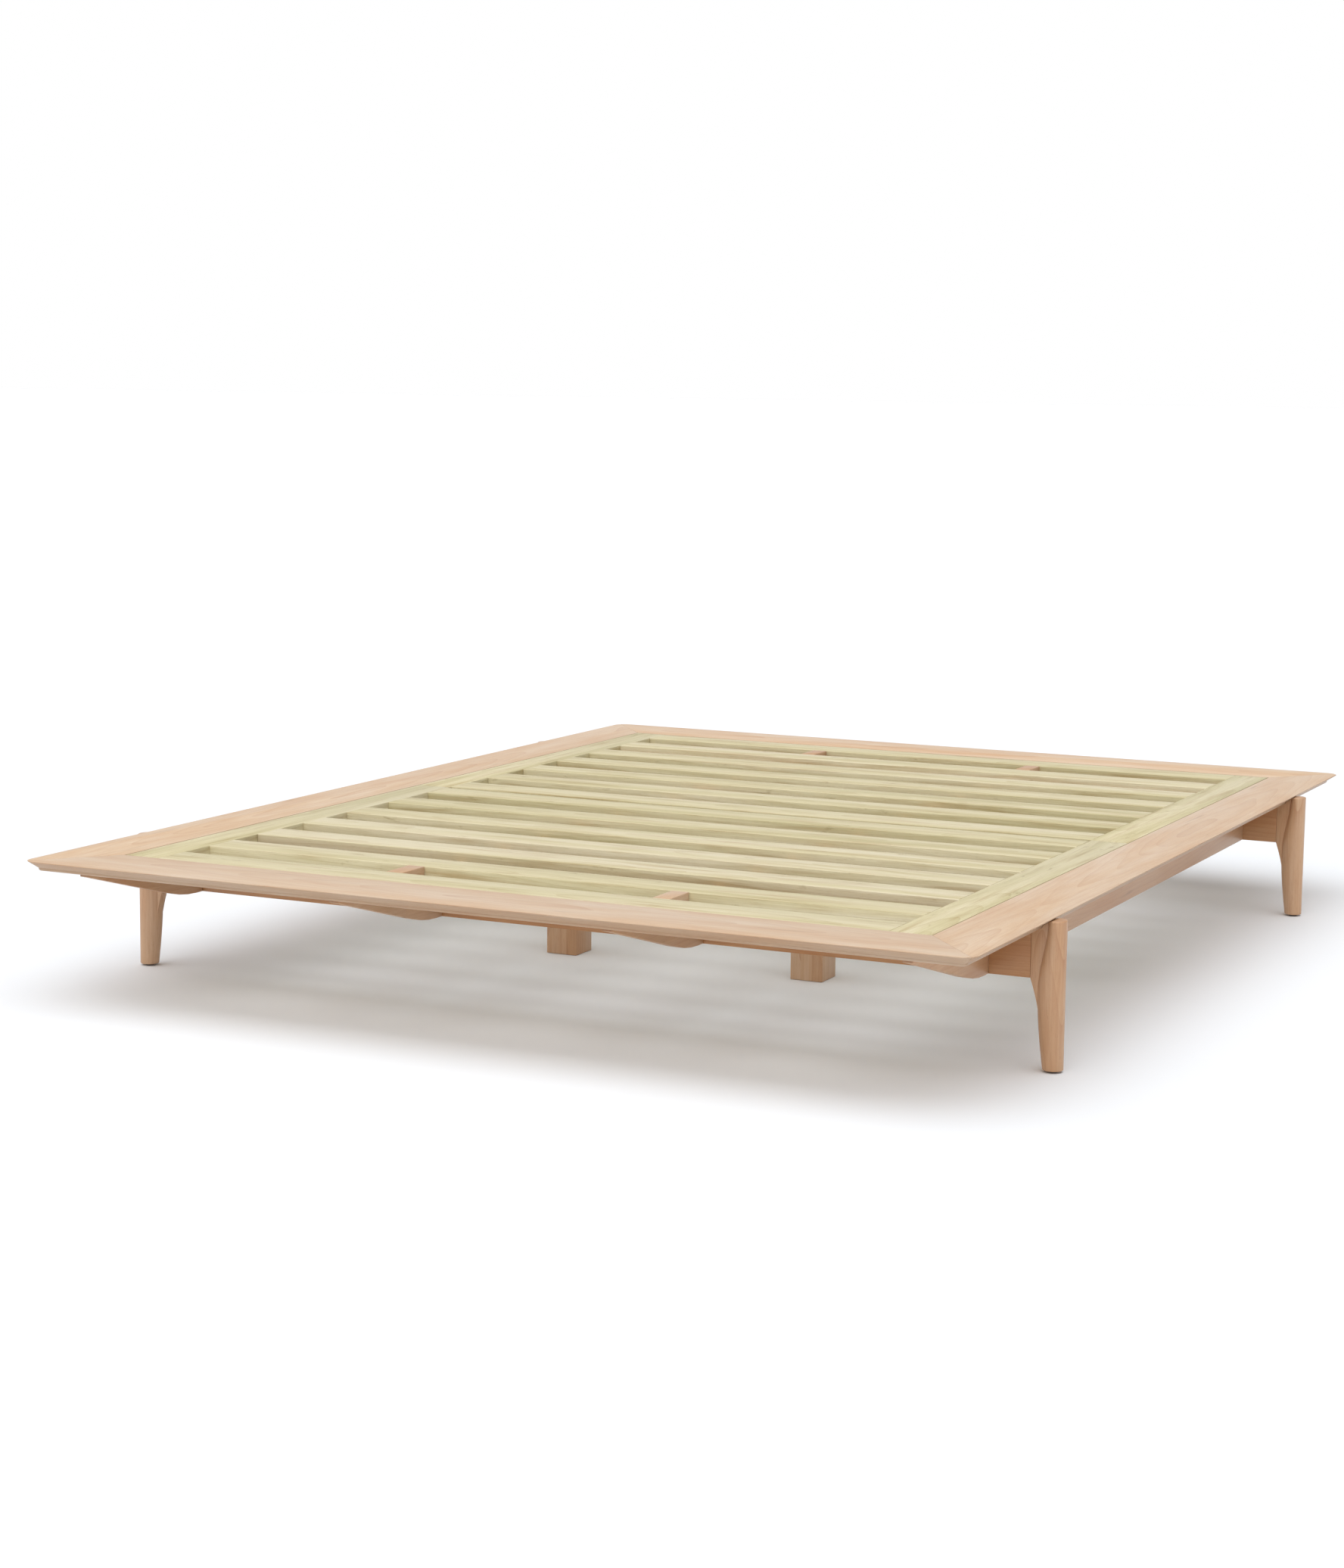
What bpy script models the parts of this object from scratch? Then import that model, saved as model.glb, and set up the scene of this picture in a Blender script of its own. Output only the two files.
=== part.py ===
"""Low platform bed frame in solid wood.

A surround of four mitred maple boards lies flush with two lift-out poplar slat panels.  Both rest on a
grid of thin maple boards on edge, two across and four lengthwise, cross-lapped together.  A shaped leg
is fixed to each end of the two cross beams, stands proud of the surround and is let into its under-cut
edge.  Four square posts carry the two inner stringers.

X runs across the bed, Y from foot to head, Z up.  The origin is on the floor under the middle.
"""

import math

import bmesh
import bpy
from mathutils import Matrix, Vector

# ------------------------------------------------------------------ overall sizes, in metres
FRAME_WIDTH = 1.778
FRAME_LENGTH = 2.318
DECK_HEIGHT = 0.254
GAP = 0.0003
ROUND_SIDES = 24

# surround
SIDE_BOARD_WIDTH = 0.120
END_BOARD_WIDTH = 0.140
BOARD_THICKNESS = 0.019
CORNER_RADIUS = 0.028
EDGE_UNDERCUT = 0.0245
ARRIS = 0.0012
RECESS_CLEARANCE = 0.0005

# grid of boards on edge
GRID_THICKNESS = 0.018
GRID_DEPTH = 0.082
CROSS_BEAM_INSET = 0.378
SIDE_RAIL_INSET = 0.117
TIP_INSET = 0.027
TIP_DEPTH = 0.0035
TAPER_RUN = 0.323
TAPER_EASE = 0.25

# legs
LEG_PROUD = 0.020
LEG_TOP_DROP = 0.004
LEG_FOOT_WIDTH = 0.0345
LEG_WIDEST = 0.046
LEG_TOP_WIDTH = 0.030
LEG_HALF_THICKNESS = 0.0194
LEG_WIDEST_DROP = 0.017
SHOULDER_REACH = 0.0370
SHOULDER_FLARE = 0.050
LEG_EASE = 0.0015
TENON_LENGTH = 0.022
TENON_THICKNESS = 0.007
TENON_MARGIN = 0.014
GLIDE_RADIUS = 0.010
GLIDE_HEIGHT = 0.003
NAIL_RADIUS = 0.0016
NAIL_LENGTH = 0.014

# posts
POST_SIZE = 0.064
POST_OFFSET = 0.290

# slat panels
PANEL_CLEARANCE = 0.002
PANEL_MEETING_GAP = 0.001
STILE_WIDTH = 0.071
SLAT_WIDTH = 0.079
SLAT_COUNT = 7
END_SETBACK = 0.008
SLAT_TENON_LENGTH = 0.020
SLAT_TENON_WIDTH = 0.055
SLAT_TENON_THICKNESS = 0.0065
BLOCK_WIDTH = 0.032
BLOCK_CLEARANCE = 0.0005

# ------------------------------------------------------------------ sizes that follow from them
HALF_WIDTH = FRAME_WIDTH / 2
HALF_LENGTH = FRAME_LENGTH / 2
BOARD_UNDERSIDE = DECK_HEIGHT - BOARD_THICKNESS
GRID_TOP = BOARD_UNDERSIDE - GAP
GRID_BOTTOM = GRID_TOP - GRID_DEPTH
LAP_HEIGHT = (GRID_TOP + GRID_BOTTOM) / 2
CROSS_BEAM_Y = HALF_LENGTH - CROSS_BEAM_INSET
SIDE_RAIL_X = HALF_WIDTH - SIDE_RAIL_INSET
STRINGER_X = SIDE_RAIL_X / 3
SHOULDER_X = HALF_WIDTH - SHOULDER_REACH
LEG_OUTER_X = HALF_WIDTH + LEG_PROUD
LEG_TOP = DECK_HEIGHT - LEG_TOP_DROP
LEG_WIDEST_Z = GRID_BOTTOM - LEG_WIDEST_DROP
INNER_HALF_WIDTH = HALF_WIDTH - SIDE_BOARD_WIDTH
INNER_HALF_LENGTH = HALF_LENGTH - END_BOARD_WIDTH
PANEL_HALF_WIDTH = INNER_HALF_WIDTH - PANEL_CLEARANCE
PANEL_OUTER_Y = INNER_HALF_LENGTH - PANEL_CLEARANCE
PANEL_INNER_Y = PANEL_MEETING_GAP / 2
SLAT_ZONE = PANEL_OUTER_Y - PANEL_INNER_Y - END_SETBACK
SLAT_OPENING = (SLAT_ZONE - SLAT_COUNT * SLAT_WIDTH) / (SLAT_COUNT - 1)
SLAT_PITCH = SLAT_WIDTH + SLAT_OPENING
SLAT_HALF_LENGTH = PANEL_HALF_WIDTH - STILE_WIDTH - GAP
PANEL_MIDDLE_Z = DECK_HEIGHT - BOARD_THICKNESS / 2

for leftover in list(bpy.data.objects):
    bpy.data.objects.remove(leftover, do_unlink=True)

parts = bpy.data.collections.new("wooden_bed_frame")
cutters = bpy.data.collections.new("cutters")
bpy.context.scene.collection.children.link(parts)
bpy.context.scene.collection.children.link(cutters)


def wood(name, colour, roughness):
    """A plain finish: base colour and roughness, not metallic."""
    material = bpy.data.materials.new(name)
    material.use_nodes = True
    shader = material.node_tree.nodes["Principled BSDF"]
    shader.inputs["Base Color"].default_value = (*colour, 1.0)
    shader.inputs["Roughness"].default_value = roughness
    shader.inputs["Metallic"].default_value = 0.0
    return material


def place(mesh, name, finish, location=(0, 0, 0), turn=(0, 0, 0), collection=parts):
    """Put a mesh in the scene as one named piece."""
    piece = bpy.data.objects.new(name, mesh)
    piece.location = location
    piece.rotation_euler = turn
    mesh.materials.append(finish)
    collection.objects.link(piece)
    return piece


def block_mesh(name, size):
    """A rectangular blank centred on its own origin."""
    bm = bmesh.new()
    bmesh.ops.create_cube(bm, size=1.0, matrix=Matrix.Diagonal((*size, 1.0)))
    return finished_mesh(bm, name)


def block(name, size, centre, finish, collection=parts):
    return place(block_mesh(name, size), name, finish, centre, collection=collection)


def sawn_board(name, outline, thickness, finish, location, turn, collection=parts):
    """A flat board sawn to an outline in its own XY plane, centred on its own Z."""
    curve = bpy.data.curves.new(name + "_outline", "CURVE")
    curve.dimensions = "2D"
    curve.fill_mode = "BOTH"
    curve.extrude = thickness / 2
    spline = curve.splines.new("POLY")
    spline.points.add(len(outline) - 1)
    for point, (u, v) in zip(spline.points, outline):
        point.co = (u, v, 0.0, 1.0)
    spline.use_cyclic_u = True
    pattern = bpy.data.objects.new(name + "_outline", curve)
    cutters.objects.link(pattern)
    solid = pattern.evaluated_get(bpy.context.evaluated_depsgraph_get())
    mesh = bpy.data.meshes.new_from_object(solid)
    mesh.name = name
    mesh.materials.clear()
    bm = bmesh.new()
    bm.from_mesh(mesh)
    bmesh.ops.remove_doubles(bm, verts=bm.verts[:], dist=0.00001)
    bmesh.ops.recalc_face_normals(bm, faces=bm.faces[:])
    bm.to_mesh(mesh)
    bm.free()
    bpy.data.objects.remove(pattern, do_unlink=True)
    bpy.data.curves.remove(curve)
    return place(mesh, name, finish, location, turn, collection)


def work(piece, tool, operation):
    """Cut a piece with a tool shape, or join the two."""
    tool.hide_render = True
    tool.display_type = "WIRE"
    step = piece.modifiers.new(tool.name, "BOOLEAN")
    step.operation = operation
    step.solver = "EXACT"
    step.object = tool


def loft(rings):
    """A solid skin over a stack of unlike sections, each a ring of the same number of points."""
    bm = bmesh.new()
    levels = [[bm.verts.new(point) for point in ring] for ring in rings]
    for lower, upper in zip(levels, levels[1:]):
        for k in range(len(lower)):
            after = (k + 1) % len(lower)
            bm.faces.new((lower[k], lower[after], upper[after], upper[k]))
    bm.faces.new(reversed(levels[0]))
    bm.faces.new(levels[-1])
    return bm


def finished_mesh(bm, name):
    bmesh.ops.recalc_face_normals(bm, faces=bm.faces[:])
    mesh = bpy.data.meshes.new(name)
    bm.to_mesh(mesh)
    bm.free()
    return mesh


def turned(name, radius, foot_radius, bottom, top):
    """A short round pin or disc about Z, between two heights."""
    bm = bmesh.new()
    bmesh.ops.create_cone(
        bm,
        cap_ends=True,
        segments=ROUND_SIDES,
        radius1=foot_radius,
        radius2=radius,
        depth=top - bottom,
        matrix=Matrix.Translation((0, 0, (top + bottom) / 2)),
    )
    return finished_mesh(bm, name)


def smooth(piece, degrees=30):
    piece.data.shade_smooth()
    piece.data.set_sharp_from_angle(angle=math.radians(degrees))


maple = wood("clear_maple", (0.62, 0.43, 0.27), 0.45)
poplar = wood("clear_poplar", (0.68, 0.60, 0.38), 0.50)
plastic = wood("dark_glide_plastic", (0.02, 0.02, 0.02), 0.60)
tool = wood("tool_shape", (0.5, 0.5, 0.5), 0.5)

# ------------------------------------------------------------------ surround
# One rounded rectangle is grown upwards in rings, so that its edge leans out from the underside to the
# top arris, then it is hollowed and cut along the four mitres.
CORNER_STEPS = 7


def surround_ring(inset):
    """Outline of the surround, offset inwards, as (x, y) points turning anticlockwise."""
    radius = CORNER_RADIUS - inset
    points = []
    for corner, (sx, sy) in enumerate(((1, 1), (-1, 1), (-1, -1), (1, -1))):
        cx = sx * (HALF_WIDTH - CORNER_RADIUS)
        cy = sy * (HALF_LENGTH - CORNER_RADIUS)
        for step in range(CORNER_STEPS):
            angle = math.radians(90) * (corner + step / (CORNER_STEPS - 1))
            points.append((cx + radius * math.cos(angle), cy + radius * math.sin(angle)))
    return points


def edge_profile():
    """(inset, height) from the underside to the top face: round lower lip, lean, eased top arris."""
    lean_top = DECK_HEIGHT - ARRIS
    lip = 0.24 * EDGE_UNDERCUT
    rise = lean_top - BOARD_UNDERSIDE
    return (
        (EDGE_UNDERCUT, BOARD_UNDERSIDE),
        (EDGE_UNDERCUT - 0.55 * lip, BOARD_UNDERSIDE + 0.04 * rise),
        (EDGE_UNDERCUT - 1.1 * lip, BOARD_UNDERSIDE + 0.17 * rise),
        (0.0, lean_top),
        (ARRIS, DECK_HEIGHT),
    )


def surround_blank():
    return loft([[(x, y, height) for x, y in surround_ring(inset)] for inset, height in edge_profile()])


def mitre_cut(bm, point, keep_side):
    """Cut away what lies beyond the mitre plane through an outer corner and its inner corner."""
    sx, sy = point
    outer = Vector((sx * HALF_WIDTH, sy * HALF_LENGTH, 0))
    inner = Vector((sx * INNER_HALF_WIDTH, sy * INNER_HALF_LENGTH, 0))
    along = (outer - inner).normalized()
    normal = Vector((-along.y, along.x, 0))
    if normal.dot(keep_side) > 0:
        normal.negate()
    cut = bmesh.ops.bisect_plane(
        bm,
        geom=bm.verts[:] + bm.edges[:] + bm.faces[:],
        plane_co=outer - normal * GAP / 2,
        plane_no=normal,
        clear_outer=True,
    )
    rim = [item for item in cut["geom_cut"] if isinstance(item, bmesh.types.BMEdge)]
    bmesh.ops.edgeloop_fill(bm, edges=rim)


def surround_board(name, corners, towards):
    bm = surround_blank()
    # hollow: the inner long face of this board
    side = Vector(towards)
    reach = INNER_HALF_WIDTH if side.x else INNER_HALF_LENGTH
    cut = bmesh.ops.bisect_plane(
        bm,
        geom=bm.verts[:] + bm.edges[:] + bm.faces[:],
        plane_co=side * reach,
        plane_no=-side,
        clear_outer=True,
    )
    rim = [item for item in cut["geom_cut"] if isinstance(item, bmesh.types.BMEdge)]
    bmesh.ops.edgeloop_fill(bm, edges=rim)
    for corner in corners:
        mitre_cut(bm, corner, side)
    return place(finished_mesh(bm, name), name, maple)


surround_foot = surround_board("surround_board_foot", ((-1, -1), (1, -1)), (0, -1, 0))
surround_head = surround_board("surround_board_head", ((-1, 1), (1, 1)), (0, 1, 0))
surround_left = surround_board("surround_board_left", ((-1, -1), (-1, 1)), (-1, 0, 0))
surround_right = surround_board("surround_board_right", ((1, -1), (1, 1)), (1, 0, 0))

# ------------------------------------------------------------------ grid: lengthwise boards
# Each lengthwise board is straight on top and slopes up underneath to a thin tip at both ends.  It is
# slotted from below over the cross beams.
TIP_Y = HALF_LENGTH - TIP_INSET
SLOT_HALF = GRID_THICKNESS / 2 + GAP


def lengthwise_outline():
    tip_bottom = GRID_TOP - TIP_DEPTH
    lap = LAP_HEIGHT + GAP / 2
    right = [
        (CROSS_BEAM_Y - SLOT_HALF, GRID_BOTTOM),
        (CROSS_BEAM_Y - SLOT_HALF, lap),
        (CROSS_BEAM_Y + SLOT_HALF, lap),
        (CROSS_BEAM_Y + SLOT_HALF, GRID_BOTTOM),
    ]
    # the slope eases into the straight underside over the last part of its run
    full_slope = 1 - TAPER_EASE / 2
    for left_over in (0.0, TAPER_EASE / 3, TAPER_EASE * 2 / 3, TAPER_EASE):
        drop = 1 - left_over**2 / (2 * TAPER_EASE * full_slope)
        y = TIP_Y - TAPER_RUN * (1 - left_over)
        right.append((y, tip_bottom + (GRID_BOTTOM - tip_bottom) * drop))
    right += [(TIP_Y, tip_bottom), (TIP_Y, GRID_TOP)]
    left = [(-y, z) for y, z in reversed(right)]
    return right + left


def lengthwise_board(name, x):
    return sawn_board(
        name,
        lengthwise_outline(),
        GRID_THICKNESS,
        maple,
        (x, 0, 0),
        (math.radians(90), 0, math.radians(90)),
    )


lengthwise_board("side_rail_left", -SIDE_RAIL_X)
lengthwise_board("stringer_left", -STRINGER_X)
lengthwise_board("stringer_right", STRINGER_X)
lengthwise_board("side_rail_right", SIDE_RAIL_X)

# ------------------------------------------------------------------ grid: cross beams
# Each cross beam is slotted from above for the four lengthwise boards.  A tenon at each end enters a leg.
TENON_DEPTH = GRID_DEPTH - 2 * TENON_MARGIN
TENON_Z = (GRID_TOP + GRID_BOTTOM) / 2


def cross_beam_outline():
    lap = LAP_HEIGHT - GAP / 2
    end = SHOULDER_X - GAP
    outline = [(-end, GRID_BOTTOM), (end, GRID_BOTTOM), (end, GRID_TOP)]
    for x in (SIDE_RAIL_X, STRINGER_X, -STRINGER_X, -SIDE_RAIL_X):
        outline += [
            (x + SLOT_HALF, GRID_TOP),
            (x + SLOT_HALF, lap),
            (x - SLOT_HALF, lap),
            (x - SLOT_HALF, GRID_TOP),
        ]
    outline.append((-end, GRID_TOP))
    return outline


def cross_beam(name, y):
    beam = sawn_board(
        name, cross_beam_outline(), GRID_THICKNESS, maple, (0, y, 0), (math.radians(90), 0, 0)
    )
    for side, sign in (("left", -1), ("right", 1)):
        buried = 0.004
        size = (TENON_LENGTH + buried, TENON_THICKNESS, TENON_DEPTH)
        centre = (sign * (SHOULDER_X - GAP + (TENON_LENGTH - buried) / 2), y, TENON_Z)
        work(beam, block(f"{name}_tenon_{side}", size, centre, tool, cutters), "UNION")
    return beam


cross_beam("cross_beam_foot", -CROSS_BEAM_Y)
cross_beam("cross_beam_head", CROSS_BEAM_Y)

# ------------------------------------------------------------------ legs
# A leg is an upright of rounded section: plumb on its outer side, swelling inwards to its widest just
# below the cross beam and slimmer above.  A flat shoulder, as thick as the beam, joins it to the beam end
# and flares into the leg below.  The glide's nail enters a hole in the foot.


LEG_SIDES = 32


def leg_width(z):
    """Width across X at a height."""
    if z < LEG_WIDEST_Z:
        share = (z - GLIDE_HEIGHT) / (LEG_WIDEST_Z - GLIDE_HEIGHT)
        return LEG_FOOT_WIDTH + (LEG_WIDEST - LEG_FOOT_WIDTH) * math.sin(share * math.pi / 2)
    share = min(1.0, (z - LEG_WIDEST_Z) / (LEG_TOP - LEG_WIDEST_Z))
    return LEG_WIDEST + (LEG_TOP_WIDTH - LEG_WIDEST) * (1 - math.cos(share * math.pi)) / 2


def leg_half_thickness(z):
    """Half thickness across Y: a little slimmer at the foot."""
    share = min(1.0, (z - GLIDE_HEIGHT) / (LEG_WIDEST_Z - GLIDE_HEIGHT))
    return LEG_HALF_THICKNESS * (0.90 + 0.10 * math.sin(share * math.pi / 2))


def leg_heights():
    lower = [GLIDE_HEIGHT + LEG_EASE + (LEG_WIDEST_Z - GLIDE_HEIGHT - LEG_EASE) * k / 5 for k in range(6)]
    upper = [LEG_WIDEST_Z + (LEG_TOP - LEG_EASE - LEG_WIDEST_Z) * k / 6 for k in range(1, 7)]
    return lower + upper


def section(sign, height, grow):
    """One rounded section of a leg, grown or drawn in, as a ring of points."""
    half = leg_width(height) / 2
    deep = leg_half_thickness(height)
    middle = LEG_OUTER_X - half
    ring = []
    for k in range(LEG_SIDES):
        angle = 2 * math.pi * k / LEG_SIDES
        x = middle + (half + grow) * math.cos(angle)
        ring.append((sign * x, sign * (deep + grow) * math.sin(angle), height))
    return ring


def shoulder_outline(sign):
    """The flat shoulder: square at the beam end, a hollow flare down into the leg, and a top scribed to
    the under-cut edge of the board above."""
    inside = LEG_OUTER_X - LEG_TOP_WIDTH * 0.6
    low = GRID_BOTTOM - SHOULDER_FLARE
    body = LEG_OUTER_X - leg_width(low) + 0.002
    flare = []
    steps = 6
    for k in range(steps + 1):
        share = k / steps
        reach = (1 - math.cos(share * math.pi / 2)) * 0.35 + share * 0.65
        flare.append((body + (SHOULDER_X - body) * reach, low + SHOULDER_FLARE * share))
    scribed = LEG_TOP - LEG_EASE - 0.001
    under = [(HALF_WIDTH - inset + RECESS_CLEARANCE, height) for inset, height in edge_profile()[:4]]
    (lean_x, lean_z), (end_x, end_z) = under[2:]
    top_x = lean_x + (end_x - lean_x) * (scribed - lean_z) / (end_z - lean_z)
    outline = [(inside, low)] + flare + [(SHOULDER_X, GRID_TOP), (under[0][0], GRID_TOP)]
    outline += under[1:3] + [(top_x, scribed), (inside, scribed)]
    return [(sign * x, z) for x, z in outline]


def leg(name, sign, y):
    rings = [section(sign, GLIDE_HEIGHT, -LEG_EASE)]
    rings += [section(sign, z, 0.0) for z in leg_heights()]
    rings += [section(sign, LEG_TOP, -LEG_EASE)]
    body = place(finished_mesh(loft(rings), name), name, maple, (0, y, 0))
    shoulder = sawn_board(
        name + "_shoulder",
        shoulder_outline(sign),
        GRID_THICKNESS,
        tool,
        (0, y, 0),
        (math.radians(90), 0, 0),
        cutters,
    )
    work(body, shoulder, "UNION")
    over = 0.002
    hole = (TENON_LENGTH + GAP + over, TENON_THICKNESS + 2 * GAP, TENON_DEPTH + 2 * GAP)
    centre = (sign * (SHOULDER_X - over + hole[0] / 2), y, TENON_Z)
    work(body, block(name + "_mortise", hole, centre, tool, cutters), "DIFFERENCE")

    # glide with its nail, and the nail's hole in the foot
    foot_x = sign * (LEG_OUTER_X - LEG_FOOT_WIDTH / 2)
    nail_top = GLIDE_HEIGHT + NAIL_LENGTH
    drill = turned(name + "_nail_hole", NAIL_RADIUS + GAP, NAIL_RADIUS + GAP, 0.0, nail_top + GAP)
    work(body, place(drill, drill.name, tool, (foot_x, y, 0), collection=cutters), "DIFFERENCE")
    disc = turned("glide_" + name, GLIDE_RADIUS, GLIDE_RADIUS - 0.001, 0.0, GLIDE_HEIGHT - GAP)
    glide = place(disc, disc.name, plastic, (foot_x, y, 0))
    nail = turned("nail_" + name, NAIL_RADIUS, NAIL_RADIUS, GLIDE_HEIGHT / 2, nail_top)
    work(glide, place(nail, nail.name, tool, (foot_x, y, 0), collection=cutters), "UNION")

    # pocket for the leg top in the under-cut edge of the side board
    depths = (BOARD_UNDERSIDE - 0.004, LEG_TOP + RECESS_CLEARANCE)
    pocket_rings = [section(sign, z, RECESS_CLEARANCE) for z in depths]
    pocket = finished_mesh(loft(pocket_rings), name + "_pocket")
    board = surround_right if sign > 0 else surround_left
    work(board, place(pocket, pocket.name, tool, (0, y, 0), collection=cutters), "DIFFERENCE")
    smooth(body)
    smooth(glide)


leg("leg_foot_left", -1, -CROSS_BEAM_Y)
leg("leg_foot_right", 1, -CROSS_BEAM_Y)
leg("leg_head_left", -1, CROSS_BEAM_Y)
leg("leg_head_right", 1, CROSS_BEAM_Y)

# ------------------------------------------------------------------ posts
# A post stands on the floor under each inner stringer, which drops into a slot in its top.


def post(name, x, y):
    body = block(name, (POST_SIZE, POST_SIZE, GRID_TOP), (x, y, GRID_TOP / 2), maple)
    over = 0.01
    slot = (2 * SLOT_HALF, POST_SIZE + 2 * over, GRID_DEPTH + GAP + over)
    slot_z = GRID_BOTTOM - GAP + slot[2] / 2
    work(body, block(name + "_slot", slot, (x, y, slot_z), tool, cutters), "DIFFERENCE")
    return body


for end, y in (("foot", -POST_OFFSET), ("head", POST_OFFSET)):
    post(f"post_{end}_left", -STRINGER_X, y)
    post(f"post_{end}_right", STRINGER_X, y)

# ------------------------------------------------------------------ slat panels
# A panel is two stiles joined by seven cross slats with stub tenons.  The slat next to the other panel is
# set back a little from the stile ends, which leaves a hand slot where the panels meet.


def slat_middle(index):
    """Distance from the bed's middle to the centre line of a slat, counted from the surround."""
    return PANEL_OUTER_Y - SLAT_WIDTH / 2 - index * SLAT_PITCH


def panel(end, sign):
    stile_length = PANEL_OUTER_Y - PANEL_INNER_Y
    stile_y = sign * (PANEL_OUTER_Y + PANEL_INNER_Y) / 2
    mortise = (
        2 * (SLAT_TENON_LENGTH + GAP),
        SLAT_TENON_WIDTH + 2 * GAP,
        SLAT_TENON_THICKNESS + 2 * GAP,
    )
    for side, across in (("left", -1), ("right", 1)):
        name = f"panel_{end}_stile_{side}"
        centre = (across * (PANEL_HALF_WIDTH - STILE_WIDTH / 2), stile_y, PANEL_MIDDLE_Z)
        stile = block(name, (STILE_WIDTH, stile_length, BOARD_THICKNESS), centre, poplar)
        for index in range(SLAT_COUNT):
            spot = (across * (PANEL_HALF_WIDTH - STILE_WIDTH), sign * slat_middle(index), PANEL_MIDDLE_Z)
            work(stile, block(f"{name}_mortise_{index}", mortise, spot, tool, cutters), "DIFFERENCE")
    for index in range(SLAT_COUNT):
        name = f"panel_{end}_slat_{index + 1}"
        spot = (0, sign * slat_middle(index), PANEL_MIDDLE_Z)
        slat = block(name, (2 * SLAT_HALF_LENGTH, SLAT_WIDTH, BOARD_THICKNESS), spot, poplar)
        tongue = (
            2 * (SLAT_HALF_LENGTH + SLAT_TENON_LENGTH),
            SLAT_TENON_WIDTH,
            SLAT_TENON_THICKNESS,
        )
        work(slat, block(f"{name}_tenons", tongue, spot, tool, cutters), "UNION")


panel("foot", -1)
panel("head", 1)

# Locating blocks on the stringers fill the outermost opening of each panel, so the panels can't slide.
block_y = (slat_middle(0) + slat_middle(1)) / 2
block_length = SLAT_OPENING - 2 * BLOCK_CLEARANCE
for end, sign in (("foot", -1), ("head", 1)):
    for side, across in (("left", -1), ("right", 1)):
        block(
            f"locating_block_{end}_{side}",
            (BLOCK_WIDTH, block_length, BOARD_THICKNESS),
            (across * STRINGER_X, sign * block_y, PANEL_MIDDLE_Z),
            maple,
        )
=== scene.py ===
"""A low platform bed frame of clear-finished maple with two lift-out poplar slat panels.

X runs across the bed, Y from foot to head, Z up, all in metres.
"""

import math
import random

import bmesh
import bpy
import numpy as np
from mathutils import Matrix, Vector


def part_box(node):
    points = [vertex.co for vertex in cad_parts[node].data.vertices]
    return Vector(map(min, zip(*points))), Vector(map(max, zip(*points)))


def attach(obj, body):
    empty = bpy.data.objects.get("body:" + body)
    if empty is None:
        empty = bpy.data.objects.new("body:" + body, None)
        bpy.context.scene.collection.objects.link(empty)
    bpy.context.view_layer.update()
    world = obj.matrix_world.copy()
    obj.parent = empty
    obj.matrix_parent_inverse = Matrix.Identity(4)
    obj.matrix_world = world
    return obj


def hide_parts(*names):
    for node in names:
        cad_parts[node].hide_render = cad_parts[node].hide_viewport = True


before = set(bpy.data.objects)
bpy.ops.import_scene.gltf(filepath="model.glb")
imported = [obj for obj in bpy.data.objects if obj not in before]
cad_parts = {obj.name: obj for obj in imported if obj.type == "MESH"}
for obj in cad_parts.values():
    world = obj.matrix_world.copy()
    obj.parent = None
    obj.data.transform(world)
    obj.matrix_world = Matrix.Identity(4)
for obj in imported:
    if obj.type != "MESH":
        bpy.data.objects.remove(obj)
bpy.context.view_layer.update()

# ---------------------------------------------------------------------------------------------- surround
# Four hard maple boards planed to 19 mm, glued at long mitres into one flush border.  The outer edge is
# cut back underneath to a round lower lip, so the deck looks thinner than it is, and the corners are
# rounded.  Every arris is eased by hand and the wood has a clear water-borne satin finish.
left_low, left_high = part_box("surround_board_left")
foot_low, foot_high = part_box("surround_board_foot")
half_width = -left_low.x
half_length = -foot_low.y
inner_half_width = -left_high.x
inner_half_length = -foot_high.y
deck_top = left_high.z
deck_underside = left_low.z
corner_radius = 0.028
edge_undercut = 0.0245
lip_radius = 0.0052
top_arris = 0.0013
joint_gap = 0.0003


def srgb(code):
    """Linear red, green, blue and alpha of an sRGB hex colour."""
    shares = [int(code[k : k + 2], 16) / 255 for k in (1, 3, 5)]
    return [s / 12.92 if s <= 0.04045 else ((s + 0.055) / 1.055) ** 2.4 for s in shares] + [1.0]


def add(tree, kind, inputs=None, out=0, stops=(), **settings):
    """One node with its settings. An input takes a value, or the output that feeds it."""
    node = tree.nodes.new(kind)
    for name, value in settings.items():
        setattr(node, name, value)
    for socket, value in (inputs or {}).items():
        if isinstance(value, bpy.types.NodeSocket):
            tree.links.new(value, node.inputs[socket])
        else:
            node.inputs[socket].default_value = value
    for k, (position, code) in enumerate(stops):
        elements = node.color_ramp.elements
        stop = elements[k] if k < 2 else elements.new(position)
        stop.position = position
        stop.color = srgb(code)
    return node if out is None else node.outputs[out]


def fibres(tree, grain, size_mm, detail=2.0, roughness=0.5):
    """Soft patches of about size_mm along, across and through the board, from 0 to 1."""
    place = add(
        tree, "ShaderNodeMapping", {"Vector": grain, "Scale": [1000.0 / size for size in size_mm]}
    )
    return add(
        tree,
        "ShaderNodeTexNoise",
        {"Vector": place, "Scale": 1.0, "Detail": detail, "Roughness": roughness},
        out=None,
    ).outputs


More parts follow.
